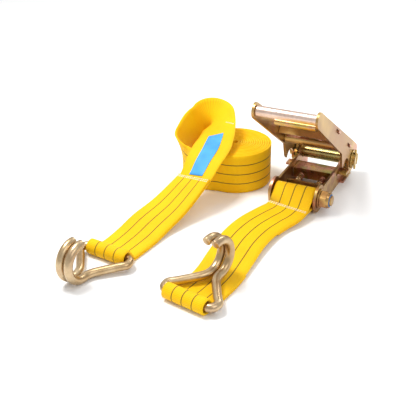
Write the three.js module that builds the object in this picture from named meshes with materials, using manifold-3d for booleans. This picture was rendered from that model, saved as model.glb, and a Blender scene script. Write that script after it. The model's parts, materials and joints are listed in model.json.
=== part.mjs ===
// Ratchet tie-down: a 50 mm webbing ratchet with its short hooked strap, lying beside the long
// hooked strap, which is rolled up. Millimetres, +Z up, standing on Z = 0.
// The ratchet's spool axis runs along X, and its bolt lies towards -Y from the spool.
import * as THREE from "three";
import { mergeVertices } from "three/addons/utils/BufferGeometryUtils.js";
import Module from "manifold-3d";

// ---- driving dimensions ------------------------------------------------------------------
const WEB_WIDTH = 50;
const WEB_THICKNESS = 2.5;
const DOUBLE_WEB = 2 * WEB_THICKNESS;
const TOUCH_GAP = 0.3;

const RATCHET = { x: 92, spoolY: 152, spoolZ: 26, boltY: 48, boltZ: 16.5 };
const CHEEK = { inner: 26, outer: 28.8, spoolLobe: 16, boltLobe: 16.5, topZ: 26 };
const WHEEL = { inner: 29.8, outer: 33.6, tipRadius: 19.2, rootRadius: 15.6, teeth: 12 };
const PLATE = { inner: 34.6, outer: 37.4 };
const SPOOL = { radius: 8, slot: 5, halfLength: 43 };
const HANDLE = { length: 184, restAngle: 35, gripRadius: 6, endHalfWidth: 9 };
const BOLT = { radius: 6, headHeight: 2.4, headRadius: 10.5, nutAcross: 19 };
const WASHER = { radius: 12, thickness: 1.6 };

const HOOK = { wire: 4.6, halfBar: 32, bend: 9, throatY: 47, pairX: 5.2, jawRadius: 19.5 };
const EYE = { inner: 6, outer: 8.5, tail: 13 };
const BOLT_EYE = { inner: 9.2, outer: 11.7, tail: 26 };

const ROLL = { x: -4.5, y: 90, radius: 46, hole: 7, height: WEB_WIDTH };

// ---- booleans ----------------------------------------------------------------------------
const wasm = await Module();
wasm.setup();

function toSolid(geometry) {
  const bare = geometry.clone();
  bare.deleteAttribute("normal");
  bare.deleteAttribute("uv");
  const merged = mergeVertices(bare, 1e-4);
  const mesh = new wasm.Mesh({
    numProp: 3,
    vertProperties: new Float32Array(merged.attributes.position.array),
    triVerts: new Uint32Array(merged.index.array),
  });
  return new wasm.Manifold(mesh);
}

function toGeometry(solid) {
  const mesh = solid.getMesh();
  const geometry = new THREE.BufferGeometry();
  geometry.setAttribute("position", new THREE.BufferAttribute(mesh.vertProperties, 3));
  geometry.setIndex(new THREE.BufferAttribute(mesh.triVerts, 1));
  geometry.computeVertexNormals();
  return geometry;
}

function combine(base, { add = [], cut = [] }) {
  let solid = toSolid(base);
  for (const piece of add) solid = solid.add(toSolid(piece));
  for (const piece of cut) solid = solid.subtract(toSolid(piece));
  return toGeometry(solid);
}

// ---- shape helpers -----------------------------------------------------------------------
function box(x0, x1, y0, y1, z0, z1) {
  const geometry = new THREE.BoxGeometry(x1 - x0, y1 - y0, z1 - z0);
  return geometry.translate((x0 + x1) / 2, (y0 + y1) / 2, (z0 + z1) / 2);
}

// A round bar along X from x0 to x1, centred on (y, z).
function barX(radius, x0, x1, y = 0, z = 0, sides = 24) {
  const geometry = new THREE.CylinderGeometry(radius, radius, x1 - x0, sides);
  return geometry.rotateZ(Math.PI / 2).translate((x0 + x1) / 2, y, z);
}

// A ring along X from x0 to x1, centred on (y, z).
function ringX(outer, inner, x0, x1, y = 0, z = 0, sides = 24) {
  const half = (x1 - x0) / 2;
  const profile = [[inner, -half], [outer, -half], [outer, half], [inner, half], [inner, -half]];
  const points = profile.map(([r, h]) => new THREE.Vector2(r, h));
  const geometry = new THREE.LatheGeometry(points, sides);
  return geometry.rotateZ(-Math.PI / 2).translate((x0 + x1) / 2, y, z);
}

// A plate whose outline is drawn in the (y, z) plane, from x0 to x1.
function plateX(shape, x0, x1, curveSegments = 12) {
  const options = { depth: x1 - x0, bevelEnabled: false, curveSegments };
  const geometry = new THREE.ExtrudeGeometry(shape, options);
  geometry.rotateY(Math.PI / 2).rotateX(Math.PI / 2);
  return geometry.translate(x0, 0, 0);
}

function polygon(points) {
  return new THREE.Shape(points.map(([u, v]) => new THREE.Vector2(u, v)));
}

// A slot with round ends, drawn as a hole or a shape between (u0, v) and (u1, v).
function slotShape(u0, u1, v, halfWidth) {
  const shape = new THREE.Shape();
  shape.absarc(u1 - halfWidth, v, halfWidth, -Math.PI / 2, Math.PI / 2);
  shape.absarc(u0 + halfWidth, v, halfWidth, Math.PI / 2, Math.PI * 1.5);
  shape.closePath();
  return shape;
}

// A round hole for a shape, without a doubled end point.
function roundHole(radius, u = 0, v = 0) {
  const circle = new THREE.Path().absarc(u, v, radius, 0, 2 * Math.PI);
  return new THREE.Path(circle.getPoints(12).slice(0, -1));
}

function hexBarX(across, x0, x1, y = 0, z = 0) {
  return barX(across / Math.sqrt(3), x0, x1, y, z, 6);
}

class Arc3 extends THREE.Curve {
  constructor(centre, u, v, radius, from, to) {
    super();
    Object.assign(this, { centre, u, v, radius, from, to });
  }
  getPoint(t, target = new THREE.Vector3()) {
    const angle = THREE.MathUtils.lerp(this.from, this.to, t);
    target.copy(this.centre);
    target.addScaledVector(this.u, this.radius * Math.cos(angle));
    return target.addScaledVector(this.v, this.radius * Math.sin(angle));
  }
}

class Helix extends THREE.Curve {
  constructor(radius, length, turns) {
    super();
    Object.assign(this, { radius, length, turns });
  }
  getPoint(t, target = new THREE.Vector3()) {
    const angle = 2 * Math.PI * this.turns * t;
    return target.set(this.radius * Math.cos(angle), this.length * t, this.radius * Math.sin(angle));
  }
}

function tubeAlong(path, radius, steps, sides = 10) {
  const section = new THREE.Shape().absarc(0, 0, radius, 0, 2 * Math.PI);
  const outline = new THREE.Shape(section.getPoints(sides / 2).slice(0, sides));
  return new THREE.ExtrudeGeometry(outline, { extrudePath: path, steps, bevelEnabled: false });
}

// A flat band along a route. Each station is [x, y, z, wx, wy, wz]: a point on the centre line
// and the direction across the band there.
class BandRoute {
  constructor(stations) {
    this.centre = new THREE.CatmullRomCurve3(stations.map((s) => new THREE.Vector3(s[0], s[1], s[2])));
    this.across = new THREE.CatmullRomCurve3(stations.map((s) => new THREE.Vector3(s[3], s[4], s[5])));
    this.centre.arcLengthDivisions = 400;
  }
  // The point at share u of the length, moved sideways and out of the band's surface.
  place(u, sideways, outwards) {
    const t = this.centre.getUtoTmapping(u);
    const along = this.centre.getTangent(t);
    const across = this.across.getPoint(t);
    across.addScaledVector(along, -across.dot(along)).normalize();
    const normal = new THREE.Vector3().crossVectors(across, along);
    return this.centre.getPoint(t).addScaledVector(across, sideways).addScaledVector(normal, outwards);
  }
}

// The band between two shares of a route's length, moved out of its surface and sideways.
function band(route, options) {
  const { from = 0, to = 1, lift = 0, side = 0, steps } = options;
  const { width = WEB_WIDTH, thickness = WEB_THICKNESS } = options;
  const geometry = new THREE.BoxGeometry(width, 1, thickness, 1, steps, 1);
  const position = geometry.attributes.position;
  for (let i = 0; i < position.count; i += 1) {
    const u = THREE.MathUtils.lerp(from, to, position.getY(i) + 0.5);
    const place = route.place(u, position.getX(i) + side, position.getZ(i) + lift);
    position.setXYZ(i, place.x, place.y, place.z);
  }
  return geometry;
}

// ---- materials ---------------------------------------------------------------------------
const FINISH = {
  webbing: { color: 0xffd400, roughness: 0.75, metalness: 0 },
  label: { color: 0x3f9fe8, roughness: 0.6, metalness: 0 },
  zinc: { color: 0xb08a4a, roughness: 0.35, metalness: 0.9 },
  hook: { color: 0xb59a6a, roughness: 0.35, metalness: 0.9 },
  spring: { color: 0xb08050, roughness: 0.35, metalness: 0.9 },
  nylon: { color: 0x3a6ea8, roughness: 0.5, metalness: 0 },
};

function piece(name, geometry, finish) {
  const mesh = new THREE.Mesh(geometry, new THREE.MeshStandardMaterial(FINISH[finish]));
  mesh.name = name;
  return mesh;
}

const SIDES = [["left", -1], ["right", 1]];

// The stretch from a to b on the right-hand side, or its mirror image on the left.
function sided(sign, a, b) {
  return sign > 0 ? [a, b] : [-b, -a];
}

// ---- ratchet frame: (y, z) measured from the spool axis ----------------------------------
const FLOOR = -RATCHET.spoolZ;
const BOLT_Y = RATCHET.boltY - RATCHET.spoolY;
const BOLT_Z = RATCHET.boltZ - RATCHET.spoolZ;
const LOCK = { y0: -40, y1: -20, tipY: -18.3, z0: -9.5, z1: -6.5, earX: 39.5 };

function cheekShape() {
  const top = CHEEK.topZ - RATCHET.spoolZ;
  const shape = new THREE.Shape();
  shape.moveTo(BOLT_Y, FLOOR);
  shape.lineTo(14, FLOOR);
  shape.lineTo(18, FLOOR + 4);
  shape.lineTo(CHEEK.spoolLobe, 0);
  shape.absarc(0, 0, CHEEK.spoolLobe, 0, Math.PI * 0.94);
  shape.lineTo(-30, top);
  const boltTop = Math.asin((top - BOLT_Z) / CHEEK.boltLobe);
  shape.absarc(BOLT_Y, BOLT_Z, CHEEK.boltLobe, boltTop, Math.PI * 1.5);
  return shape;
}

function ratchetFrame() {
  const cheek = (sign) => plateX(cheekShape(), ...sided(sign, CHEEK.inner, CHEEK.outer));
  const base = box(-CHEEK.inner - 1, CHEEK.inner + 1, -86, -42, FLOOR, FLOOR + 3);
  const anchor = box(-22, 22, -75, -72, FLOOR + 2, FLOOR + 19);
  const feet = SIDES.map(([, sign]) => box(...sided(sign, CHEEK.outer - 1, 34), -20, 12, FLOOR, FLOOR + 2.5));
  const bores = [
    barX(SPOOL.radius + 0.6, -50, 50, 0, 0, 32),
    barX(BOLT.radius + 0.3, -40, 40, BOLT_Y, BOLT_Z, 24),
  ];
  const lockSlot = plateX(slotShape(-38.6, -17, (LOCK.z0 + LOCK.z1) / 2, 2.2), -50, 50);
  const baseSlots = [-10, 10].map((x) => box(x - 6, x + 6, -58, -53, FLOOR - 1, FLOOR + 4));
  const cut = [...bores, lockSlot, ...baseSlots];
  return combine(cheek(-1), { add: [cheek(1), base, anchor, ...feet], cut });
}

function lockPawl() {
  const plate = box(-CHEEK.inner + 0.5, CHEEK.inner - 0.5, LOCK.y0, LOCK.y1, LOCK.z0, LOCK.z1);
  const ears = box(-LOCK.earX, LOCK.earX, -31, LOCK.tipY, LOCK.z0, LOCK.z1);
  const lip = box(-CHEEK.inner + 0.5, CHEEK.inner - 0.5, LOCK.y0, LOCK.y0 + 3, LOCK.z0 - 10, LOCK.z0 + 1);
  return combine(plate, { add: [ears, lip] });
}

const LOCK_SPRING = { x: 14, y0: -71.7, y1: -40.3, z: -14.5, radius: 3.4, wire: 0.7, turns: 7 };

function springGeometry({ radius, wire, turns, length }) {
  return tubeAlong(new Helix(radius, length, turns), wire, turns * 10, 6);
}

function placeInRatchet(mesh) {
  mesh.position.set(RATCHET.x, RATCHET.spoolY, RATCHET.spoolZ);
  return mesh;
}

function frameGroup() {
  const group = new THREE.Group();
  const boltAt = [BOLT_Y, BOLT_Z];
  const headInner = CHEEK.outer + TOUCH_GAP;
  const nutInner = headInner + WASHER.thickness + TOUCH_GAP;
  const nutOuter = nutInner + 11;
  const insertInner = nutOuter - 3;
  group.add(piece("ratchet_frame", ratchetFrame(), "zinc"));
  const shank = barX(BOLT.radius, -headInner - 1, nutOuter + 2.5, ...boltAt);
  const head = barX(BOLT.headRadius, -headInner - BOLT.headHeight, -headInner, ...boltAt);
  group.add(piece("webbing_bolt", combine(head, { add: [shank] }), "zinc"));
  const washer = ringX(WASHER.radius, BOLT.radius + 0.4, headInner, headInner + WASHER.thickness, ...boltAt);
  group.add(piece("bolt_washer", washer, "zinc"));
  const sleeve = ringX(8.4, BOLT.radius + 0.4, -CHEEK.inner + 0.4, CHEEK.inner - 0.4, ...boltAt);
  group.add(piece("bolt_sleeve", sleeve, "zinc"));
  const bore = barX(BOLT.radius + 0.3, 0, 80, ...boltAt);
  const collar = barX(9, insertInner - 1, nutOuter, ...boltAt, 24);
  const seat = barX(7.9, insertInner, 80, ...boltAt);
  const hexagon = hexBarX(BOLT.nutAcross, nutInner, insertInner, ...boltAt);
  const nut = combine(hexagon, { add: [collar], cut: [bore, seat] });
  group.add(piece("lock_nut", nut, "zinc"));
  const insert = ringX(7.6, BOLT.radius + 0.3, insertInner + TOUCH_GAP, nutOuter + 0.6, ...boltAt);
  group.add(piece("nut_insert", insert, "nylon"));
  group.add(piece("lock_pawl", lockPawl(), "zinc"));
  const length = LOCK_SPRING.y1 - LOCK_SPRING.y0 - 2 * LOCK_SPRING.wire;
  for (const [side, sign] of SIDES) {
    const spring = springGeometry({ ...LOCK_SPRING, length });
    spring.translate(sign * LOCK_SPRING.x, LOCK_SPRING.y0 + LOCK_SPRING.wire, LOCK_SPRING.z);
    group.add(piece(`lock_spring_${side}`, spring, "spring"));
    const pin = new THREE.CylinderGeometry(1.8, 1.8, 20, 12);
    pin.translate(sign * LOCK_SPRING.x, LOCK_SPRING.y0 + 10.2, LOCK_SPRING.z);
    group.add(piece(`lock_spring_pin_${side}`, pin, "zinc"));
  }
  group.children.forEach(placeInRatchet);
  return group;
}

// ---- spool -------------------------------------------------------------------------------
function halfSpool(sign) {
  const cut = Math.asin(SPOOL.slot / 2 / SPOOL.radius);
  const shape = new THREE.Shape();
  shape.absarc(0, 0, SPOOL.radius, -Math.PI / 2 + cut, Math.PI / 2 - cut);
  shape.closePath();
  const geometry = plateX(shape, -SPOOL.halfLength, SPOOL.halfLength, 14);
  return sign > 0 ? geometry : geometry.rotateX(Math.PI);
}

function wheelShape() {
  const points = [];
  const pitch = (2 * Math.PI) / WHEEL.teeth;
  for (let tooth = 0; tooth < WHEEL.teeth; tooth += 1) {
    const start = tooth * pitch;
    points.push([start, WHEEL.rootRadius]);
    points.push([start + 0.08 * pitch, WHEEL.tipRadius]);
    points.push([start + 0.3 * pitch, WHEEL.tipRadius]);
    points.push([start + 0.85 * pitch, WHEEL.rootRadius]);
  }
  const shape = polygon(points.map(([angle, r]) => [r * Math.cos(angle), r * Math.sin(angle)]));
  shape.holes.push(roundHole(SPOOL.radius + TOUCH_GAP));
  return shape;
}

function spoolGroup() {
  const group = new THREE.Group();
  group.add(piece("spool_half_back", halfSpool(1), "zinc"));
  group.add(piece("spool_half_front", halfSpool(-1), "zinc"));
  for (const [side, sign] of SIDES) {
    const wheel = plateX(wheelShape(), ...sided(sign, WHEEL.inner, WHEEL.outer));
    group.add(piece(`ratchet_wheel_${side}`, wheel, "zinc"));
    const washer = ringX(12, SPOOL.radius + TOUCH_GAP, ...sided(sign, PLATE.outer + 0.4, PLATE.outer + 1.9));
    group.add(piece(`spool_washer_${side}`, washer, "zinc"));
    const pin = new THREE.CylinderGeometry(1.5, 1.5, 26, 12).rotateX(Math.PI / 2);
    group.add(piece(`cotter_pin_${side}`, pin.translate(sign * (PLATE.outer + 3.9), 0, 0), "zinc"));
  }
  group.children.forEach(placeInRatchet);
  return group;
}

// ---- handle: (h, n) run along the handle and out of its upper side -----------------------
const DRIVE = { n0: 8, n1: 11, tipH: 18.4, plateH: 75, barH: 146, barN: 0 };

function handlePlateShape() {
  const shape = new THREE.Shape();
  const end = HANDLE.endHalfWidth;
  shape.absarc(0, 0, 16, Math.PI * 1.7, Math.PI * 0.85, true);
  shape.lineTo(-13, 17);
  shape.quadraticCurveTo(-10, 20.5, -5, 21);
  shape.lineTo(14, 20);
  shape.lineTo(HANDLE.length - 4, end);
  shape.absarc(HANDLE.length, 0, end, Math.PI / 2, -Math.PI / 2, true);
  shape.lineTo(HANDLE.length - 4, -end);
  shape.lineTo(58, -7);
  shape.lineTo(43, -18.5);
  shape.lineTo(37.5, -20);
  shape.quadraticCurveTo(38, -6, 26, -5.2);
  shape.quadraticCurveTo(15.5, -5, 13, -9.3);
  const frontSlot = slotShape(27, 43.5, (DRIVE.n0 + DRIVE.n1) / 2, 2);
  const rearSlot = slotShape(95, 111.5, (DRIVE.n0 + DRIVE.n1) / 2, 2);
  shape.holes.push(frontSlot, rearSlot);
  shape.holes.push(roundHole(SPOOL.radius + 0.6));
  return shape;
}

// Turns a piece drawn with +Y along the handle and +Z out of its upper side to the rest angle.
function placeOnHandle(mesh) {
  const along = THREE.MathUtils.degToRad(180 - HANDLE.restAngle);
  const basis = new THREE.Matrix4().makeBasis(
    new THREE.Vector3(-1, 0, 0),
    new THREE.Vector3(0, Math.cos(along), Math.sin(along)),
    new THREE.Vector3(0, Math.sin(along), -Math.cos(along)),
  );
  mesh.quaternion.setFromRotationMatrix(basis);
  return placeInRatchet(mesh);
}

function drivePawl() {
  const wide = PLATE.inner - 0.5;
  const plate = box(-wide, wide, DRIVE.tipH, DRIVE.plateH, DRIVE.n0, DRIVE.n1);
  const { plateH, barH } = DRIVE;
  const neckLine = [[plateH - 1, 8], [98, 8], [barH - 2, -1.5], [barH - 2, 1.5], [99, 11], [plateH - 1, 11]];
  const neck = plateX(polygon(neckLine), -20, 20);
  const flange = box(-30, 30, DRIVE.plateH - 3, DRIVE.plateH, -0.5, DRIVE.n1);
  const frontEars = box(-39.5, 39.5, 28.3, 36.3, DRIVE.n0 + 0.3, DRIVE.n1 - 0.3);
  const rearEars = box(-39.5, 39.5, 96.3, 104.3, DRIVE.n0 + 0.3, DRIVE.n1 - 0.3);
  const bar = barX(4, -24, 24, DRIVE.barH, DRIVE.barN);
  return combine(plate, { add: [neck, flange, frontEars, rearEars, bar] });
}

const DRIVE_SPRING = { x: 13, h0: 75.3, h1: 91.7, n: 3.6, radius: 2.9, wire: 0.6, turns: 6 };

function handleGroup() {
  const group = new THREE.Group();
  for (const [side, sign] of [["right", -1], ["left", 1]]) {
    const plate = plateX(handlePlateShape(), ...sided(sign, PLATE.inner, PLATE.outer));
    group.add(piece(`handle_plate_${side}`, plate, "zinc"));
  }
  const between = PLATE.inner - TOUCH_GAP;
  group.add(piece("handle_grip", barX(HANDLE.gripRadius, -between, between, HANDLE.length, 0), "zinc"));
  group.add(piece("handle_cross_tube", barX(6, -between, between, 62, 1), "zinc"));
  group.add(piece("spring_bridge", box(-between, between, 92, 95, -1.5, 7), "zinc"));
  group.add(piece("drive_pawl", drivePawl(), "zinc"));
  const length = DRIVE_SPRING.h1 - DRIVE_SPRING.h0 - 2 * DRIVE_SPRING.wire;
  for (const [side, sign] of [["right", -1], ["left", 1]]) {
    const spring = springGeometry({ ...DRIVE_SPRING, length });
    spring.translate(sign * DRIVE_SPRING.x, DRIVE_SPRING.h0 + DRIVE_SPRING.wire, DRIVE_SPRING.n);
    group.add(piece(`drive_spring_${side}`, spring, "spring"));
  }
  group.children.forEach(placeOnHandle);
  return group;
}

// ---- hooks: the bar lies along X, and the jaws reach along +Y and open upwards ------------
function hookPath() {
  const { halfBar, bend, throatY, pairX, jawRadius } = HOOK;
  const path = new THREE.CurvePath();
  const half = (sign) => {
    const x = (value) => sign * value;
    const corner = new THREE.Vector3(x(halfBar), 0, 0);
    const barEnd = new THREE.Vector3(x(halfBar - bend), 0, 0);
    const legStart = new THREE.Vector3(x(halfBar - 1), bend + 1, 0);
    const legEnd = new THREE.Vector3(x(pairX + 4), throatY - 12, 0);
    const pairCorner = new THREE.Vector3(x(pairX), throatY - 5, 0);
    const jawStart = new THREE.Vector3(x(pairX), throatY, 0);
    const up = new THREE.Vector3(0, 0, 1);
    const forward = new THREE.Vector3(0, 1, 0);
    const centre = new THREE.Vector3(x(pairX), throatY, jawRadius);
    return [
      new THREE.LineCurve3(new THREE.Vector3(0, 0, 0), barEnd),
      new THREE.QuadraticBezierCurve3(barEnd, corner, legStart),
      new THREE.LineCurve3(legStart, legEnd),
      new THREE.QuadraticBezierCurve3(legEnd, pairCorner, jawStart),
      new Arc3(centre, forward, up, jawRadius, -Math.PI / 2, Math.PI * 0.56),
    ];
  };
  const reversed = (curve) => {
    const flipped = new THREE.Curve();
    flipped.getPoint = (t, target) => curve.getPoint(1 - t, target);
    return flipped;
  };
  for (const curve of half(-1).reverse()) path.add(reversed(curve));
  for (const curve of half(1)) path.add(curve);
  return path;
}

// heading: the way the jaws point on the floor, from +Y towards +X; pitch: their tilt above it.
function hook(name, at, heading, pitch) {
  const mesh = piece(name, tubeAlong(hookPath(), HOOK.wire, 84, 8), "hook");
  mesh.rotation.set(THREE.MathUtils.degToRad(pitch), 0, THREE.MathUtils.degToRad(-heading), "ZXY");
  mesh.position.set(...at);
  return mesh;
}

// ---- webbing -----------------------------------------------------------------------------
// The eye's side view around its bar at the origin; the tail runs along +Y to the floor.
function eyeShape({ inner, outer, tail }, tailBottom, tailTop) {
  const shape = new THREE.Shape();
  shape.absarc(0, 0, outer, Math.PI * 0.42, Math.PI * 1.55);
  shape.lineTo(tail, tailBottom);
  shape.lineTo(tail, tailTop);
  shape.closePath();
  shape.holes.push(roundHole(inner));
  return shape;
}

const EYE_HEIGHT = EYE.outer + TOUCH_GAP;
const LONG_EYE = { at: [-45.7, -148.4, EYE_HEIGHT], heading: 9 };
const SHORT_EYE = { at: [66.1, -190.6, EYE_HEIGHT], heading: 12 };
const WEB_Z = DOUBLE_WEB / 2 + TOUCH_GAP;

function eyeGeometry({ at, heading }) {
  const shape = eyeShape(EYE, TOUCH_GAP - EYE_HEIGHT, TOUCH_GAP + DOUBLE_WEB - EYE_HEIGHT);
  const geometry = plateX(shape, -WEB_WIDTH / 2, WEB_WIDTH / 2, 20);
  return geometry.rotateZ(THREE.MathUtils.degToRad(-heading)).translate(...at);
}

// The long strap from its hook: a doubled lead up to the seam, then the single loop over the
// roll, round behind it and back along the roll's near side.
const LONG_ROUTE = [
  [-43.8, -136.5, WEB_Z, 0.988, -0.156, 0],
  [-41.5, -120, WEB_Z + 0.5, 0.985, -0.14, 0],
  [-39, -98, 4.8, 0.99, -0.08, -0.04],
  [-36.5, -75, 8.5, 0.975, -0.1, -0.06],
  [-29.5, -42, 15.5, 0.975, -0.2, 0.02],
  [-23, -18, 26, 0.97, -0.24, 0.12],
  [-18, 1, 36, 0.95, -0.27, 0.17],
  [-16.5, 22, 49, 0.97, -0.2, 0.1],
  [-17, 42, 56, 0.99, -0.1, 0.06],
  [-19.5, 60, 58.5, 0.98, 0.05, 0.17],
  [-22.5, 77, 62, 0.94, 0.1, 0.32],
  [-29, 97, 67.5, 0.84, 0.1, 0.5],
  [-38.5, 110.5, 70.5, 0.68, 0.36, 0.64],
  [-50, 116.5, 69, 0.45, 0.2, 0.85],
  [-58.5, 115.5, 62.5, 0.15, 0.05, 0.97],
  [-62.5, 107, 56.5, -0.02, 0.2, 0.97],
  [-66, 97, 51.5, -0.1, 0.2, 0.97],
  [-67.5, 83, 45, -0.2, 0.15, 0.97],
  [-65.5, 68, 36.5, -0.25, 0.06, 0.96],
  [-56, 55.5, 28, -0.08, 0.02, 1],
  [-44, 47, 25.6, 0, 0, 1],
  [-28, 41.4, 25.3, 0, 0, 1],
  [-9, 41.2, 25.3, 0, 0, 1],
];
const SEAM_SHARE = 0.335;
const CURL_SHARE = 0.64;
const WALL_SHARE = 0.78;

const SHORT_ROUTE = [
  [68.4, -179.8, WEB_Z, 0.978, -0.208, 0],
  [72, -159, WEB_Z + 0.3, 0.985, -0.15, 0],
  [74.5, -133, 4.2, 0.995, -0.05, -0.05],
  [74, -102, 7, 0.99, 0.03, -0.12],
  [73, -66, 9, 0.99, -0.02, -0.14],
  [75.5, -32, 8, 0.985, -0.15, -0.12],
  [82, -6, 7.5, 0.98, -0.2, -0.08],
  [89.5, 11, 9, 0.995, -0.08, -0.02],
  [92, 24, 10.8, 1, 0, 0],
];

function boltEye() {
  const shape = new THREE.Shape();
  shape.absarc(0, 0, BOLT_EYE.outer, -Math.PI * 0.5, Math.PI * 0.62);
  shape.lineTo(-BOLT_EYE.tail, -3.2);
  shape.lineTo(-BOLT_EYE.tail, -8.2);
  shape.closePath();
  shape.holes.push(roundHole(BOLT_EYE.inner));
  const geometry = plateX(shape, -WEB_WIDTH / 2, WEB_WIDTH / 2, 20);
  return geometry.translate(RATCHET.x, RATCHET.boltY, RATCHET.boltZ);
}

function webbingGroup() {
  const group = new THREE.Group();
  const route = new BandRoute(LONG_ROUTE);
  const lead = band(route, { to: SEAM_SHARE, thickness: DOUBLE_WEB, steps: 26 });
  group.add(piece("long_strap_lead", combine(eyeGeometry(LONG_EYE), { add: [lead] }), "webbing"));
  const under = -WEB_THICKNESS / 2;
  const near = band(route, { from: SEAM_SHARE + 0.001, to: CURL_SHARE, lift: under, steps: 36 });
  group.add(piece("long_strap_near_band", near, "webbing"));
  const curl = band(route, { from: CURL_SHARE + 0.008, to: WALL_SHARE, lift: under, steps: 24 });
  group.add(piece("long_strap_curl", curl, "webbing"));
  const far = band(route, { from: WALL_SHARE + 0.004, lift: under, steps: 24 });
  group.add(piece("long_strap_far_wall", far, "webbing"));
  const roll = ringX(ROLL.radius, ROLL.hole, 0, ROLL.height, 0, 0, 56);
  roll.rotateY(-Math.PI / 2).translate(ROLL.x, ROLL.y, 0);
  group.add(piece("long_strap_roll", roll, "webbing"));
  const labelPlace = { from: SEAM_SHARE + 0.008, to: SEAM_SHARE + 0.17, lift: 0.95, side: 1 };
  const label = band(route, { ...labelPlace, width: 20, thickness: 0.8, steps: 14 });
  group.add(piece("strap_label", label, "label"));
  const strap = band(new BandRoute(SHORT_ROUTE), { thickness: DOUBLE_WEB, steps: 26 });
  group.add(piece("short_strap", combine(eyeGeometry(SHORT_EYE), { add: [strap, boltEye()] }), "webbing"));
  return group;
}

// ---- assembly ----------------------------------------------------------------------------
const tieDown = new THREE.Group();
tieDown.add(frameGroup(), spoolGroup(), handleGroup(), webbingGroup());
tieDown.add(hook("long_strap_hook", LONG_EYE.at, LONG_EYE.heading + 178.5, -5));
tieDown.add(hook("short_strap_hook", SHORT_EYE.at, SHORT_EYE.heading, 6));

// The origin is the middle of the footprint, on the ground.
tieDown.updateMatrixWorld(true);
const extent = new THREE.Box3().setFromObject(tieDown, true);
const middle = extent.getCenter(new THREE.Vector3());
tieDown.position.set(-middle.x, -middle.y, -extent.min.z);

export default tieDown;
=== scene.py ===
"""Ratchet tie-down: webbing, hooks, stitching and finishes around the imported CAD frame."""
import json
import math

import bpy
import numpy as np
from mathutils import Matrix, Vector


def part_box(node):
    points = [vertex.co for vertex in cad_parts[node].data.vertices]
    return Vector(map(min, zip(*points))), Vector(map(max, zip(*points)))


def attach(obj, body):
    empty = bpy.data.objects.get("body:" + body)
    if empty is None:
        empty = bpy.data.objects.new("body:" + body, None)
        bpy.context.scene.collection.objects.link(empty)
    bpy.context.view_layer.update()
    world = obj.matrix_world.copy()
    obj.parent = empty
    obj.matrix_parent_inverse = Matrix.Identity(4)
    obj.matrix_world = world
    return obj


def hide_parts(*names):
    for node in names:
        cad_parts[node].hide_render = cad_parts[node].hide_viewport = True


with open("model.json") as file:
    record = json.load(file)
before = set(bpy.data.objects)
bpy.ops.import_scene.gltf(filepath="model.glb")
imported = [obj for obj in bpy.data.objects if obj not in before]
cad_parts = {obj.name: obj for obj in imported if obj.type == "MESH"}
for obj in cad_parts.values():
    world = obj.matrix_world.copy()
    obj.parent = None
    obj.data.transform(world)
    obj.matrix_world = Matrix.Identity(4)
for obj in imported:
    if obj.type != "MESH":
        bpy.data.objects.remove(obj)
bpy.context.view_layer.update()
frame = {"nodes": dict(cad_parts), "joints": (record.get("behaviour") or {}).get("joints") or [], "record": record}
NODES = frame["nodes"]
JOINTS = {joint["name"]: joint for joint in frame["joints"]}

MM = 0.001
WEB_WIDTH = 50 * MM
WEB_THICK = 2.3 * MM
WIRE = 4.6 * MM
EYE_RADIUS = 7.3 * MM
LAYER_GAP = 2.5 * MM
LABEL_WIDTH = 20 * MM
LABEL_LENGTH = 78 * MM
LABEL_THICK = 0.5 * MM
STITCH_HALF_ROW = 23 * MM


def middle(node):
    low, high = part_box(node)
    return (Vector(low) + Vector(high)) / 2


# The straps' stations below are millimetres from ORIGIN, a point on the floor. The roll's axis
# stands at ROLL_PLACE from it.
ROLL_PLACE = Vector((-4.5 * MM, 90 * MM))
ROLL_AXIS = middle("long_strap_roll")
ORIGIN = Vector((ROLL_AXIS.x - ROLL_PLACE.x, ROLL_AXIS.y - ROLL_PLACE.y, 0))
ROLL_LOW, ROLL_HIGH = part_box("long_strap_roll")
ROLL_RADIUS = (ROLL_HIGH[0] - ROLL_LOW[0]) / 2
BOLT = Vector(JOINTS["short_strap_swing"]["pos_m"])
LONG_EYE = Vector(JOINTS["long_hook_swing"]["pos_m"])
SHORT_EYE = Vector(JOINTS["short_hook_swing"]["pos_m"])
LONG_BAR = Vector(JOINTS["long_hook_swing"]["axis"])
SHORT_BAR = Vector(JOINTS["short_hook_swing"]["axis"])
UP = Vector((0, 0, 1))


# ---- camera and stage --------------------------------------------------------------------
CAMERA_AZIMUTH = math.radians(25)
CAMERA_ELEVATION = math.radians(28)
CAMERA_DISTANCE = 0.946
CAMERA_LENS = 69.2
CAMERA_SENSOR = 36
FLOOR_HALF = 4
FLOOR_GREY = 0.93
WORLD_STRENGTH = 0.7


def make_camera():
    back = Vector((
        math.sin(CAMERA_AZIMUTH) * math.cos(CAMERA_ELEVATION),
        -math.cos(CAMERA_AZIMUTH) * math.cos(CAMERA_ELEVATION),
        math.sin(CAMERA_ELEVATION),
    ))
    data = bpy.data.cameras.new("camera")
    data.lens = CAMERA_LENS
    data.sensor_width = CAMERA_SENSOR
    camera = bpy.data.objects.new("camera", data)
    camera.location = ORIGIN + back * CAMERA_DISTANCE
    camera.rotation_mode = "QUATERNION"
    camera.rotation_quaternion = (-back).to_track_quat("-Z", "Y")
    bpy.context.scene.collection.objects.link(camera)
    bpy.context.scene.camera = camera


def area_light(name, location, size, power, target=(0, 0, 0.03)):
    data = bpy.data.lights.new(name, "AREA")
    data.shape = "DISK"
    data.size = size
    data.energy = power
    light = bpy.data.objects.new(name, data)
    light.location = location
    light.rotation_mode = "QUATERNION"
    light.rotation_quaternion = (Vector(target) - Vector(location)).to_track_quat("-Z", "Y")
    bpy.context.scene.collection.objects.link(light)


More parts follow.
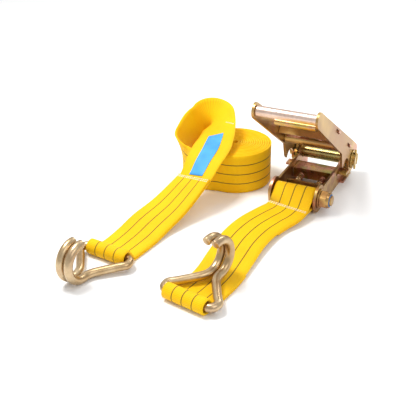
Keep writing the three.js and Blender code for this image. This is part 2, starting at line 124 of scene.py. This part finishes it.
def make_stage():
    mesh = bpy.data.meshes.new("floor")
    signs = [(-1, -1), (1, -1), (1, 1), (-1, 1)]
    corners = [(x * FLOOR_HALF, y * FLOOR_HALF, 0) for x, y in signs]
    mesh.from_pydata(corners, [], [(0, 1, 2, 3)])
    floor = bpy.data.objects.new("floor", mesh)
    bpy.context.scene.collection.objects.link(floor)
    material = bpy.data.materials.new("floor_white")
    material.use_nodes = True
    shader = material.node_tree.nodes["Principled BSDF"]
    shader.inputs["Base Color"].default_value = (FLOOR_GREY, FLOOR_GREY, FLOOR_GREY, 1)
    shader.inputs["Roughness"].default_value = 0.9
    mesh.materials.append(material)
    world = bpy.data.worlds.new("studio")
    world.use_nodes = True
    background = world.node_tree.nodes["Background"]
    background.inputs["Color"].default_value = (1, 1, 1, 1)
    background.inputs["Strength"].default_value = WORLD_STRENGTH
    bpy.context.scene.world = world
    area_light("key", (-0.45, -0.1, 1.15), 0.45, 12)
    area_light("fill", (0.8, -0.5, 0.9), 0.7, 2.6)
    area_light("rim", (0.15, 0.9, 0.9), 0.5, 3.2)
    bpy.context.scene.view_settings.view_transform = "Standard"


make_camera()
make_stage()


# ---- materials ---------------------------------------------------------------------------
class Nodes:
    """Short names for building one material's node tree."""

    def __init__(self, name):
        self.material = bpy.data.materials.new(name)
        self.material.use_nodes = True
        self.tree = self.material.node_tree
        self.shader = self.tree.nodes["Principled BSDF"]

    def add(self, kind):
        return self.tree.nodes.new(kind)

    def link(self, source, target):
        self.tree.links.new(source, target)

    def math(self, operation, a, b=None, clamp=False):
        node = self.add("ShaderNodeMath")
        node.operation = operation
        node.use_clamp = clamp
        for socket, value in zip(node.inputs, (a, b)):
            if value is None:
                continue
            if hasattr(value, "links"):
                self.link(value, socket)
            else:
                socket.default_value = value
        return node.outputs[0]

    def mix(self, factor, a, b, blend="MIX"):
        node = self.add("ShaderNodeMix")
        node.data_type = "RGBA"
        node.blend_type = blend
        for name, value in (("Factor", factor), ("A", a), ("B", b)):
            socket = [s for s in node.inputs if s.name == name and s.enabled][0]
            if hasattr(value, "links"):
                self.link(value, socket)
            else:
                socket.default_value = value
        return [s for s in node.outputs if s.enabled][0]

    def noise(self, coordinates, scale, detail=3.0, roughness=0.5):
        node = self.add("ShaderNodeTexNoise")
        node.inputs["Scale"].default_value = scale
        node.inputs["Detail"].default_value = detail
        node.inputs["Roughness"].default_value = roughness
        self.link(coordinates, node.inputs["Vector"])
        return node.outputs["Fac"]

    def ramp(self, factor, stops):
        node = self.add("ShaderNodeValToRGB")
        elements = node.color_ramp.elements
        while len(elements) < len(stops):
            elements.new(0.5)
        for element, (position, color) in zip(elements, stops):
            element.position = position
            element.color = (*color, 1)
        self.link(factor, node.inputs["Fac"])
        return node.outputs["Color"]

    def bump(self, height, strength, distance):
        node = self.add("ShaderNodeBump")
        node.inputs["Strength"].default_value = strength
        node.inputs["Distance"].default_value = distance
        self.link(height, node.inputs["Height"])
        self.link(node.outputs["Normal"], self.shader.inputs["Normal"])


def zinc(name, tones, roughness, tint_scale):
    """Yellow-chromated zinc: tones drift over the surface, with fine grain and small scuffs."""
    n = Nodes(name)
    place = n.add("ShaderNodeTexCoord").outputs["Object"]
    drift = n.noise(place, tint_scale, 2.0)
    fine = n.noise(place, 260.0, 4.0, 0.7)
    scuff = n.noise(place, 900.0, 2.0, 0.6)
    positions = [0.3, 0.45, 0.56, 0.72]
    color = n.ramp(drift, list(zip(positions, tones)))
    shade = n.ramp(fine, [(0.25, (0.78, 0.76, 0.74)), (0.7, (1, 1, 1))])
    n.link(n.mix(1.0, color, shade, "MULTIPLY"), n.shader.inputs["Base Color"])
    n.shader.inputs["Metallic"].default_value = 1.0
    rough = n.math("ADD", n.math("MULTIPLY", fine, 0.22), roughness - 0.11)
    n.link(rough, n.shader.inputs["Roughness"])
    n.bump(scuff, 0.12, 0.0002)
    return n.material


GOLD = (0.66, 0.44, 0.16)
PINK = (0.70, 0.34, 0.26)
OLIVE = (0.42, 0.42, 0.10)
BROWN = (0.30, 0.13, 0.06)
TAN = (0.56, 0.40, 0.22)
PALE = (0.86, 0.70, 0.60)
BRONZE = (0.46, 0.24, 0.10)
STRAW = (0.58, 0.50, 0.20)
RUST = (0.46, 0.24, 0.12)
HONEY = (0.50, 0.30, 0.12)
ROSE = (0.80, 0.60, 0.50)
BLUSH = (0.74, 0.52, 0.44)
MOSS = (0.34, 0.40, 0.12)
HAZEL = (0.48, 0.32, 0.16)
SAND = (0.64, 0.49, 0.30)
UMBER = (0.52, 0.36, 0.22)
FINISHES = {
    "zinc_frame": zinc("zinc_frame", (PINK, BRONZE, GOLD, BROWN), 0.36, 34.0),
    "zinc_spool": zinc("zinc_spool", (OLIVE, GOLD, STRAW, BROWN), 0.27, 22.0),
    "zinc_handle": zinc("zinc_handle", (RUST, HONEY, GOLD, PINK), 0.36, 16.0),
    "grip": zinc("zinc_grip", (PALE, ROSE, PALE, BLUSH), 0.33, 11.0),
    "zinc_pawl": zinc("zinc_pawl", (OLIVE, GOLD, PINK, MOSS), 0.30, 30.0),
    "zinc_hook": zinc("zinc_hook", (HAZEL, TAN, SAND, UMBER), 0.33, 30.0),
    "spring_wire": zinc("spring_wire", (GOLD, TAN, PINK, BROWN), 0.30, 60.0),
}


def nylon():
    n = Nodes("nylon")
    place = n.add("ShaderNodeTexCoord").outputs["Object"]
    grain = n.noise(place, 700.0, 3.0)
    blue = n.ramp(grain, [(0.3, (0.05, 0.16, 0.42)), (0.7, (0.09, 0.24, 0.55))])
    n.link(blue, n.shader.inputs["Base Color"])
    n.shader.inputs["Roughness"].default_value = 0.42
    n.bump(grain, 0.1, 0.0002)
    return n.material


FINISHES["nylon"] = nylon()


RIBS = 32
PICK_LENGTH = 1.5 * MM
LABEL_PICK_LENGTH = 0.8 * MM
TRACER_SHARES = (0.25, 0.5, 0.75)
TRACER_HALF_SHARE = 0.0125


def webbing():
    """Woven yellow polyester. UV x is 0 to 1 across the lined face and 2 to 3 across the plain
    one, with the edges between; UV y is the length along the strap in metres."""
    n = Nodes("webbing")
    uv = n.add("ShaderNodeTexCoord").outputs["UV"]
    split = n.add("ShaderNodeSeparateXYZ")
    n.link(uv, split.inputs[0])
    across, along = split.outputs["X"], split.outputs["Y"]
    place = n.add("ShaderNodeTexCoord").outputs["Object"]
    rib = n.math("SINE", n.math("MULTIPLY", across, 2 * math.pi * RIBS))
    pick = n.math("SINE", n.math("MULTIPLY", along, 2 * math.pi / PICK_LENGTH))
    weave = n.math("MULTIPLY", rib, pick)
    height = n.math("ADD", n.math("MULTIPLY", weave, 0.32), n.math("MULTIPLY", pick, 0.18))
    cloud = n.noise(place, 30.0, 3.0)
    cloth = n.ramp(cloud, [(0.3, (1.0, 0.60, 0.0)), (0.7, (1.0, 0.72, 0.0))])
    # Painted shade: the cloth colour is mixed towards deep orange where the weave's height is low, darkening the
    # grooves between the yarns.
    groove_painted_shade = n.math("MULTIPLY", n.math("SUBTRACT", 0.5, height), 0.8, clamp=True)
    cloth = n.mix(groove_painted_shade, cloth, (0.72, 0.30, 0.0, 1))
    lines = None
    for share in TRACER_SHARES:
        gap = n.math("ABSOLUTE", n.math("SUBTRACT", across, share))
        line = n.math("LESS_THAN", gap, TRACER_HALF_SHARE)
        lines = line if lines is None else n.math("MAXIMUM", lines, line)
    lines = n.math("MULTIPLY", lines, n.math("ADD", n.math("MULTIPLY", pick, 0.12), 0.80))
    cloth = n.mix(lines, cloth, (0.035, 0.028, 0.012, 1))
    n.link(cloth, n.shader.inputs["Base Color"])
    n.shader.inputs["Roughness"].default_value = 0.62
    n.shader.inputs["Sheen Weight"].default_value = 0.04
    n.shader.inputs["Sheen Roughness"].default_value = 0.5
    n.shader.inputs["Specular IOR Level"].default_value = 0.18
    n.bump(height, 0.6, 0.0004)
    return n.material


def label_cloth():
    """Blue coated label with rows of plain grey dashes that say nothing."""
    n = Nodes("label_cloth")
    uv = n.add("ShaderNodeTexCoord").outputs["UV"]
    split = n.add("ShaderNodeSeparateXYZ")
    n.link(uv, split.inputs[0])
    across, along = split.outputs["X"], split.outputs["Y"]
    place = n.add("ShaderNodeTexCoord").outputs["Object"]
    rows = n.math("GREATER_THAN", n.math("SINE", n.math("MULTIPLY", across, 2 * math.pi * 9)), 0.55)
    dash = n.math("GREATER_THAN", n.noise(uv, 380.0, 2.0), 0.53)
    inside = n.math("LESS_THAN", n.math("ABSOLUTE", n.math("SUBTRACT", across, 0.5)), 0.40)
    marks = n.math("MULTIPLY", n.math("MULTIPLY", rows, dash), inside)
    cloud = n.noise(place, 60.0, 3.0)
    blue = n.ramp(cloud, [(0.3, (0.035, 0.30, 0.78)), (0.7, (0.06, 0.40, 0.90))])
    color = n.mix(n.math("MULTIPLY", marks, 0.55), blue, (0.10, 0.16, 0.24, 1))
    n.link(color, n.shader.inputs["Base Color"])
    n.shader.inputs["Roughness"].default_value = 0.5
    pick = n.math("SINE", n.math("MULTIPLY", along, 2 * math.pi / LABEL_PICK_LENGTH))
    n.bump(pick, 0.15, 0.0001)
    return n.material


def thread():
    n = Nodes("thread")
    place = n.add("ShaderNodeTexCoord").outputs["Object"]
    twist = n.noise(place, 2500.0, 1.0)
    white = n.ramp(twist, [(0.3, (0.72, 0.66, 0.52)), (0.7, (0.95, 0.92, 0.84))])
    n.link(white, n.shader.inputs["Base Color"])
    n.shader.inputs["Roughness"].default_value = 0.7
    n.bump(twist, 0.3, 0.0001)
    return n.material


FINISHES["webbing"] = webbing()
FINISHES["label_fabric"] = label_cloth()
THREAD = thread()


# ---- smooth shading and small bevels for the CAD nodes --------------------------------------
BEVEL = 0.35 * MM
CREASE_ANGLE = math.radians(32)
BEVEL_ANGLE = math.radians(40)
WELD = 1e-6


def shading_group():
    group = bpy.data.node_groups.new("smooth_by_angle", "GeometryNodeTree")
    group.interface.new_socket("Geometry", in_out="INPUT", socket_type="NodeSocketGeometry")
    group.interface.new_socket("Geometry", in_out="OUTPUT", socket_type="NodeSocketGeometry")
    nodes, links = group.nodes, group.links
    start, end = nodes.new("NodeGroupInput"), nodes.new("NodeGroupOutput")
    merge = nodes.new("GeometryNodeMergeByDistance")
    merge.inputs["Distance"].default_value = WELD
    smooth = nodes.new("GeometryNodeSetShadeSmooth")
    sharp = nodes.new("GeometryNodeSetShadeSmooth")
    sharp.domain = "EDGE"
    sharp.inputs["Shade Smooth"].default_value = False
    angle = nodes.new("GeometryNodeInputMeshEdgeAngle")
    compare = nodes.new("FunctionNodeCompare")
    compare.operation = "GREATER_THAN"
    compare.inputs[1].default_value = CREASE_ANGLE
    links.new(start.outputs[0], merge.inputs["Geometry"])
    links.new(merge.outputs[0], smooth.inputs["Geometry"])
    links.new(smooth.outputs[0], sharp.inputs["Geometry"])
    links.new(angle.outputs["Unsigned Angle"], compare.inputs[0])
    links.new(compare.outputs[0], sharp.inputs["Selection"])
    links.new(sharp.outputs[0], end.inputs[0])
    return group


SMOOTH = shading_group()


def finish_cad_node(node, finish, bevel):
    obj = NODES[node]
    for slot in obj.material_slots:
        slot.material = FINISHES[finish]
    modifier = obj.modifiers.new("shading", "NODES")
    modifier.node_group = SMOOTH
    if bevel:
        edge = obj.modifiers.new("edge", "BEVEL")
        edge.width = bevel
        edge.segments = 2
        edge.limit_method = "ANGLE"
        edge.angle_limit = BEVEL_ANGLE
        edge.harden_normals = True


for part in frame["record"]["subparts"]:
    is_spring = "spring_l" in part["node"] or "spring_r" in part["node"]
    finish = "grip" if part["node"] == "handle_grip" else part["material_slot"]
    finish_cad_node(part["node"], finish, 0 if is_spring else BEVEL)


# ---- mesh helpers ------------------------------------------------------------------------
def add_piece(name, vertices, faces, body, slot_name, material=None, uvs=None):
    mesh = bpy.data.meshes.new(name)
    mesh.from_pydata([tuple(v) for v in vertices], [], faces)
    if uvs is not None:
        layer = mesh.uv_layers.new(name="UVMap")
        for polygon in mesh.polygons:
            for loop, uv in zip(polygon.loop_indices, uvs[polygon.index]):
                layer.data[loop].uv = uv
    for polygon in mesh.polygons:
        polygon.use_smooth = True
    mesh.materials.append(material or FINISHES[slot_name])
    obj = bpy.data.objects.new(name, mesh)
    bpy.context.scene.collection.objects.link(obj)
    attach(obj, body)
    return obj


def curve_through(points, per_span=8):
    """Centripetal Catmull-Rom curve through the rows of points."""
    p = np.array(points, float)
    p = np.vstack([2 * p[0] - p[1], p, 2 * p[-1] - p[-2]])
    rows = []
    for i in range(1, len(p) - 2):
        q = p[i - 1:i + 3]
        steps = [max(np.linalg.norm(q[k + 1, :3] - q[k, :3]), 1e-9) ** 0.5 for k in range(3)]
        t0, t1 = 0.0, steps[0]
        t2, t3 = t1 + steps[1], t1 + steps[1] + steps[2]
        last = i == len(p) - 3
        for t in np.linspace(t1, t2, per_span + 1 if last else per_span, endpoint=last):
            a1 = (t1 - t) / (t1 - t0) * q[0] + (t - t0) / (t1 - t0) * q[1]
            a2 = (t2 - t) / (t2 - t1) * q[1] + (t - t1) / (t2 - t1) * q[2]
            a3 = (t3 - t) / (t3 - t2) * q[2] + (t - t2) / (t3 - t2) * q[3]
            b1 = (t2 - t) / (t2 - t0) * a1 + (t - t0) / (t2 - t0) * a2
            b2 = (t3 - t) / (t3 - t1) * a2 + (t - t1) / (t3 - t1) * a3
            rows.append((t2 - t) / (t2 - t1) * b1 + (t - t1) / (t2 - t1) * b2)
    return np.array(rows)


def directions(points):
    """Unit tangents along a row of points."""
    along = np.gradient(points, axis=0)
    return along / np.linalg.norm(along, axis=1, keepdims=True)


class Ribbon:
    """A strap's middle surface: centre points in metres and the unit vectors across it."""

    def __init__(self, centre, across):
        self.centre = np.array(centre, float)
        self.along = directions(self.centre)
        across = np.array(across, float)
        across -= self.along * (across * self.along).sum(axis=1, keepdims=True)
        self.across = across / np.linalg.norm(across, axis=1, keepdims=True)
        self.normal = np.cross(self.across, self.along)
        steps = np.linalg.norm(np.diff(self.centre, axis=0), axis=1)
        self.length = np.concatenate([[0], np.cumsum(steps)])

    def lifted(self, height):
        return Ribbon(self.centre + self.normal * height, self.across)

    def part(self, start, end):
        keep = (self.length >= start) & (self.length <= end)
        return Ribbon(self.centre[keep], self.across[keep])

    def joined(self, *others):
        centre = np.vstack([self.centre, *[o.centre for o in others]])
        across = np.vstack([self.across, *[o.across for o in others]])
        return Ribbon(centre, across)

    def at(self, length, sideways, height):
        """A point on or over the surface, and the local across, along and normal vectors."""
        index = int(np.clip(np.searchsorted(self.length, length), 1, len(self.length) - 1))
        share = (length - self.length[index - 1]) / (self.length[index] - self.length[index - 1])
        rows = (self.centre, self.across, self.along, self.normal)
        centre, across, along, normal = [r[index - 1] * (1 - share) + r[index] * share for r in rows]
        return centre + across * sideways + normal * height, across, along, normal


COLUMNS = 10
PLAIN_START = 2
EDGE_U = 1.5


def ribbon_piece(name, ribbon, body, slot, width=WEB_WIDTH, thick=WEB_THICK, lined=1):
    """A woven strap with rounded edges; its lined face is on the normal's side if lined is 1."""
    half, edge = width / 2, thick / 2
    inner = np.linspace(-1, 1, COLUMNS + 1)
    above, below = (0, PLAIN_START) if lined == 1 else (PLAIN_START, 0)
    section = [(x * (half - edge * 0.6), edge, above + (x + 1) / 2) for x in inner[::-1]]
    section.append((-half, 0.0, EDGE_U))
    section += [(x * (half - edge * 0.6), -edge, below + (x + 1) / 2) for x in inner]
    section.append((half, 0.0, EDGE_U))
    count = len(section)
    vertices, faces, uvs = [], [], []
    for i in range(len(ribbon.centre)):
        for x, z, _ in section:
            vertices.append(ribbon.centre[i] + ribbon.across[i] * x + ribbon.normal[i] * z)
    for i in range(len(ribbon.centre) - 1):
        for k in range(count):
            a, b = i * count + k, i * count + (k + 1) % count
            faces.append((a, b, b + count, a + count))
            u0, u1 = section[k][2], section[(k + 1) % count][2]
            if EDGE_U in (u0, u1):
                u0 = u1 = EDGE_U
            v0, v1 = ribbon.length[i], ribbon.length[i + 1]
            uvs.append(((u0, v0), (u1, v0), (u1, v1), (u0, v1)))
    last = (len(ribbon.centre) - 1) * count
    faces.append(tuple(reversed(range(count))))
    uvs.append(tuple((EDGE_U, 0.0) for _ in range(count)))
    faces.append(tuple(range(last, last + count)))
    uvs.append(tuple((EDGE_U, ribbon.length[-1]) for _ in range(count)))
    return add_piece(name, vertices, faces, body, slot, uvs=uvs)


def tube_piece(name, points, radius, body, slot_name, sides=20, ends=3):
    """A round bar along the points, cut off square with its edges rounded a little."""
    points = np.array(points, float)
    along = directions(points)
    side = np.cross(along[0], (0.3, 0.5, 0.8))
    rows = []
    for i in range(len(points)):
        side -= along[i] * side.dot(along[i])
        side /= np.linalg.norm(side)
        rows.append((points[i], along[i], side.copy(), radius))
    first, last = rows[0], rows[-1]
    for k in range(1, ends + 1):
        angle = math.pi / 2 * k / (ends + 0.6)
        reach, ring = 0.12 * radius * math.sin(angle), radius * (1 - 0.16 * (1 - math.cos(angle)))
        rows.insert(0, (first[0] - first[1] * reach, first[1], first[2], ring))
        rows.append((last[0] + last[1] * reach, last[1], last[2], ring))
    vertices, faces = [], []
    for point, forward, side, ring in rows:
        other = np.cross(forward, side)
        for k in range(sides):
            angle = 2 * math.pi * k / sides
            vertices.append(point + ring * (math.cos(angle) * side + math.sin(angle) * other))
    for i in range(len(rows) - 1):
        for k in range(sides):
            a, b = i * sides + k, i * sides + (k + 1) % sides
            faces.append((a, b, b + sides, a + sides))
    faces.append(tuple(reversed(range(sides))))
    faces.append(tuple(range((len(rows) - 1) * sides, len(rows) * sides)))
    return add_piece(name, vertices, faces, body, slot_name)


# ---- straps ------------------------------------------------------------------------------
LONG_ROUTE = [
    (-43.8, -136.5, 2.8, 0.988, -0.156, 0),
    (-41.5, -120, 3.3, 0.985, -0.14, 0),
    (-39, -98, 4.8, 0.99, -0.08, -0.04),
    (-36.5, -75, 8.5, 0.975, -0.1, -0.06),
    (-29.5, -42, 15.5, 0.975, -0.2, 0.02),
    (-23, -18, 26, 0.97, -0.24, 0.12),
    (-18, 1, 36, 0.95, -0.27, 0.17),
    (-16.5, 22, 49, 0.97, -0.2, 0.1),
    (-17, 42, 55.5, 0.99, -0.1, 0.06),
    (-20.5, 60, 58.3, 0.98, 0.05, 0.17),
    (-24.5, 77, 61, 0.94, 0.1, 0.32),
    (-31, 96.5, 66, 0.84, 0.1, 0.5),
    (-38.5, 109, 68.2, 0.66, 0.32, 0.66),
    (-49, 114.5, 66, 0.36, 0.2, 0.88),
    (-57.5, 112.5, 61, 0.1, 0.12, 0.97),
    (-62.5, 106, 56.5, -0.04, 0.15, 0.97),
    (-66.3, 96.5, 51.8, -0.12, 0.17, 0.97),
    (-67.5, 83, 45, -0.2, 0.15, 0.97),
    (-65.5, 68, 36.5, -0.25, 0.06, 0.96),
    (-56, 55.5, 28, -0.08, 0.02, 1),
    (-44, 47.5, 25.6, 0, 0, 1),
    (-28, 42.2, 25.3, 0, 0, 1),
]
SHORT_ROUTE = [
    (68.4, -179.8, 2.8, 0.978, -0.208, 0),
    (72, -159, 3.1, 0.985, -0.15, 0),
    (74.5, -133, 4.2, 0.995, -0.05, -0.05),
    (74, -102, 7, 0.99, 0.03, -0.12),
    (73, -66, 9, 0.99, -0.02, -0.14),
    (75.5, -32, 8, 0.985, -0.15, -0.12),
    (82, -6, 7.5, 0.98, -0.2, -0.08),
    (89.5, 11, 9, 0.995, -0.08, -0.02),
    (92, 24, 10.8, 1, 0, 0),
]


def from_route(route):
    rows = curve_through([(x * MM, y * MM, z * MM, a, b, c) for x, y, z, a, b, c in route])
    return Ribbon(rows[:, :3] + np.array(ORIGIN), rows[:, 3:])


def eye_turn(centre, strap_way, across, start, end, radius=EYE_RADIUS, steps=22):
    """The strap's turn round a bar. Angles go from the strap's way (0) up over the top (90)."""
    angles = np.radians(np.linspace(start, end, steps))
    middle_point = np.array(centre, float)
    out = [math.cos(t) * strap_way + math.sin(t) * np.array(UP) for t in angles]
    return Ribbon([middle_point + radius * way for way in out], [across] * steps)


ROLL_INNER = 3.6 * MM
ROLL_CLEARANCE = 0.5 * MM
ROLL_START = math.radians(-94)
STEPS_PER_TURN = 52
ROUND_ERROR = 0.12 * MM
EDGE_ERROR = 0.2 * MM


def spiral():
    """The rolled strap, seen from above: it turns inwards from the near side of the roll."""
    outer = ROLL_RADIUS - WEB_THICK / 2
    turns = (outer - ROLL_INNER) / (WEB_THICK + ROLL_CLEARANCE)
    count = int(turns * STEPS_PER_TURN)
    share = np.linspace(0, 1, count)
    angle = ROLL_START + share * turns * 2 * math.pi
    radius = outer - share * (outer - ROLL_INNER)
    radius = radius + ROUND_ERROR * np.sin(5 * angle) * (1 - share)
    height = WEB_WIDTH / 2 + EDGE_ERROR * (1 + np.sin(2.3 * angle))
    x = ROLL_AXIS.x + radius * np.cos(angle)
    y = ROLL_AXIS.y + radius * np.sin(angle)
    return Ribbon(np.column_stack([x, y, height]), np.tile((0.0, 0.0, 1.0), (count, 1)))


SEAM = 146 * MM
EYE_TURN = (62, 272)
LONG_PLAIN = from_route(LONG_ROUTE)
SHORT_PLAIN = from_route(SHORT_ROUTE)


def long_strap():
    """From the seam back to the hook's eye, round its bar, out again underneath and to the roll."""
    strap_way = -np.cross(np.array(UP), np.array(LONG_BAR))
    across = np.array([abs(LONG_BAR.x), -abs(LONG_BAR.y), 0.0])
    top = LONG_PLAIN.part(0, SEAM).lifted(LAYER_GAP / 2)
    back = Ribbon(top.centre[::-1], top.across[::-1])
    turn = eye_turn(LONG_EYE, strap_way, across, *EYE_TURN)
    return back.joined(turn, LONG_PLAIN.lifted(-LAYER_GAP / 2), spiral())


LONG = long_strap()
long_webbing = ribbon_piece("long_webbing", LONG, "frame_and_long_strap", "webbing", lined=-1)
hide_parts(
    "long_strap_lead", "long_strap_near_band", "long_strap_curl",
    "long_strap_far_wall", "long_strap_roll",
)


HOOK_OVERLAP = 62 * MM
BOLT_OVERLAP = 55 * MM
BOLT_EYE_RADIUS = 10.4 * MM
BOLT_TURN = (128, -96)


def short_strap():
    """From under the hook's eye round its bar, along to the bolt, round it and back underneath."""
    way = np.cross(np.array(UP), np.array(SHORT_BAR))
    under = SHORT_PLAIN.part(0, HOOK_OVERLAP).lifted(-LAYER_GAP / 2)
    start = Ribbon(under.centre[::-1], under.across[::-1])
    turn = eye_turn(SHORT_EYE, way, np.array(SHORT_BAR), *EYE_TURN[::-1])
    top = SHORT_PLAIN.lifted(LAYER_GAP / 2)
    over = eye_turn(BOLT, np.array((0.0, 1.0, 0.0)), (1, 0, 0), *BOLT_TURN, radius=BOLT_EYE_RADIUS)
    last = SHORT_PLAIN.length[-1]
    end = SHORT_PLAIN.part(last - BOLT_OVERLAP, last).lifted(-LAYER_GAP / 2)
    tail = Ribbon(end.centre[::-1], end.across[::-1])
    return start.joined(turn, top, over, tail)


SHORT = short_strap()
short_webbing = ribbon_piece("short_webbing", SHORT, "short_strap_set", "webbing")
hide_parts("short_strap")

LABEL_START = SEAM + 2 * MM
LABEL_LIFT = 0.45 * MM
label = ribbon_piece(
    "strap_label_cloth",
    LONG_PLAIN.part(LABEL_START, LABEL_START + LABEL_LENGTH).lifted(LABEL_LIFT),
    "frame_and_long_strap", "label_fabric", width=LABEL_WIDTH, thick=LABEL_THICK,
)
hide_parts("strap_label")


# ---- stitching ---------------------------------------------------------------------------
STITCH_SIDES = 6
STITCH_SIZE = (1.2 * MM, 0.6 * MM, 0.45 * MM)


def stitch_piece(name, ribbon, rows, body, count=17):
    """Rows of thread stitches: (length along, half width, slant along the strap, sideways)."""
    vertices, faces = [], []
    sides = STITCH_SIDES
    half_long, half_wide, half_high = STITCH_SIZE
    for length, half, slant, aside in rows:
        for k in range(count):
            share = -1 + 2 * k / (count - 1)
            sideways = aside + share * half
            point, across, along, normal = ribbon.at(length + slant * share, sideways, WEB_THICK / 2)
            base = len(vertices)
            for ring in range(5):
                polar = math.pi * ring / 4
                for s in range(sides):
                    turn = 2 * math.pi * s / sides
                    offset = across * half_long * -math.cos(polar)
                    offset = offset + along * half_wide * math.sin(polar) * math.cos(turn)
                    offset = offset + normal * half_high * math.sin(polar) * math.sin(turn)
                    if 0 < ring < 4 or s == 0:
                        vertices.append(point + offset)
            last = base + 1 + 3 * sides
            for s in range(sides):
                t = (s + 1) % sides
                faces.append((base, base + 1 + t, base + 1 + s))
                faces.append((last, base + 1 + 2 * sides + s, base + 1 + 2 * sides + t))
                for ring in range(2):
                    a, b = base + 1 + ring * sides + s, base + 1 + ring * sides + t
                    faces.append((a, b, b + sides, a + sides))
    return add_piece(name, vertices, faces, body, "webbing", THREAD)


SEAM_ROWS = (2.6 * MM, 4.6 * MM)
BOLT_ROWS = (3 * MM, 5.2 * MM)
CURL_ROW = (242 * MM, 4.7 * MM, -3.2 * MM, 17 * MM)
stitch_piece(
    "long_strap_stitching", LONG_PLAIN.lifted(LAYER_GAP / 2),
    [(SEAM - reach, STITCH_HALF_ROW, 0, 0) for reach in SEAM_ROWS], "frame_and_long_strap",
)
stitch_piece(
    "curl_stitching", LONG_PLAIN.lifted(-LAYER_GAP / 2), [CURL_ROW], "frame_and_long_strap", count=5,
)
stitch_piece(
    "short_strap_stitching", SHORT_PLAIN.lifted(LAYER_GAP / 2),
    [(SHORT_PLAIN.length[-1] - reach, STITCH_HALF_ROW, 0, 0) for reach in BOLT_ROWS],
    "short_strap_set",
)


# ---- hooks -------------------------------------------------------------------------------
HALF_BAR = 32
BEND = 9
THROAT = 47
PAIR = 5.2
JAW = 19.5
JAW_END = 0.56 * math.pi


def bezier(a, b, c, steps):
    return [(1 - t) ** 2 * a + 2 * t * (1 - t) * b + t * t * c for t in np.linspace(0, 1, steps)]


def flat(x, y):
    return np.array((x, y, 0.0))


def hook_points():
    """The hook's wire in millimetres: its bar along X, its jaws along +Y and opening upwards."""
    rows = [flat(0, 0), flat(HALF_BAR - BEND - 8, 0)]
    rows += bezier(flat(HALF_BAR - BEND, 0), flat(HALF_BAR, 0), flat(HALF_BAR - 1, BEND + 1), 9)
    rows += [flat(HALF_BAR - 7, BEND + 7.5)]
    rows += bezier(flat(PAIR + 6, THROAT - 14), flat(PAIR, THROAT - 7), flat(PAIR, THROAT), 8)
    for angle in np.linspace(-math.pi / 2, JAW_END, 26)[1:]:
        rows.append(np.array((PAIR, THROAT + JAW * math.cos(angle), JAW + JAW * math.sin(angle))))
    left = [row * np.array((-1, 1, 1)) for row in rows[:0:-1]]
    return curve_through([tuple(p) for p in left + rows], 3)


def hook_piece(name, node, joint, pitch, heading, body):
    place = Vector(JOINTS[joint]["pos_m"])
    turn, tilt = math.radians(-heading), math.radians(pitch)
    spin = np.array(Matrix.Rotation(turn, 3, "Z") @ Matrix.Rotation(tilt, 3, "X"))
    points = (hook_points() * MM) @ spin.T + np.array(place)
    piece = tube_piece(name, points, WIRE, body, "zinc_hook")
    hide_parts(node)


hook_piece("long_strap_hook_wire", "long_strap_hook", "long_hook_swing", -5, 187.5, "long_hook_set")
hook_piece("short_strap_hook_wire", "short_strap_hook", "short_hook_swing", 6, 12, "short_hook_set")
